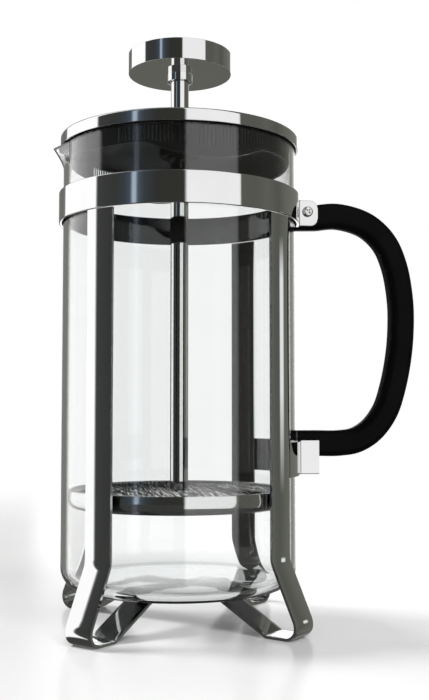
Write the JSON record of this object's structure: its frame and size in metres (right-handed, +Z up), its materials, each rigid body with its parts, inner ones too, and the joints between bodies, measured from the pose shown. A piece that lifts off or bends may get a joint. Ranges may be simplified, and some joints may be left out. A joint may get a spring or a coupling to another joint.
{
  "type": "french press",
  "caption": "Plunger coffee maker: glass beaker in a chromed four-legged frame, black D-shaped handle, flat lid, disc knob, rod and round filter.",
  "frame": {"origin": "on the table, under the middle of the press's overall length and width; the beaker's axis is 24.5 mm towards -X from it", "axes": "+Z up along the beaker and the plunger, +X towards the handle, -X towards the pouring lip"},
  "size_m": [0.1535, 0.0996, 0.235],
  "materials": {
    "chrome_frame": "mirror polished",
    "black_handle": "satin",
    "screw_steel": "plain",
    "clear_glass": "clear",
    "chrome_lid": "mirror polished",
    "black_strainer": "gloss",
    "chrome_plunger": "mirror polished",
    "filter_steel": "polished"
  },
  "bodies": {
    "frame": {"frame_band": "chrome_frame", "leg_strip_upper": "chrome_frame", "leg_strip_lower": "chrome_frame", "base_rivet": "chrome_frame", "lower_strap_near": "chrome_frame", "lower_strap_far": "chrome_frame", "handle": "black_handle", "handle_screw": "screw_steel", "handle_nut": "screw_steel"},
    "beaker": {"glass_beaker": "clear_glass"},
    "lid_bush": {"lid_bush": "chrome_lid", "lid_bush_nut": "chrome_lid"},
    "lid": {"lid_cover": "chrome_lid", "lid_strainer": "black_strainer"},
    "rod": {"plunger_rod": "chrome_plunger"},
    "plunger_ends": {"knob": "chrome_plunger", "knob_nut": "chrome_plunger", "filter_pan": "filter_steel", "filter_hub": "filter_steel", "filter_plate": "filter_steel", "filter_mesh": "filter_steel", "filter_spring": "filter_steel", "filter_nut": "filter_steel"}
  },
  "joints": [
    {"name": "beaker_lift", "type": "slide", "parent": "frame", "child": "beaker", "axis": [0, 0, 1], "range_m": [0, 0.165]},
    {"name": "lid_lift", "type": "slide", "parent": "beaker", "child": "lid_bush", "axis": [0, 0, 1], "range_m": [0, 0.155]},
    {"name": "lid_turn", "type": "hinge", "parent": "lid_bush", "child": "lid", "pos_m": [-0.0245, 0, 0.197], "axis": [0, 0, 1], "continuous": true},
    {"name": "plunger_slide", "type": "slide", "parent": "lid_bush", "child": "rod", "axis": [0, 0, 1], "range_m": [-0.0212, 0.125]},
    {"name": "plunger_turn", "type": "hinge", "parent": "rod", "child": "plunger_ends", "pos_m": [-0.0245, 0, 0.2], "axis": [0, 0, 1], "continuous": true}
  ]
}
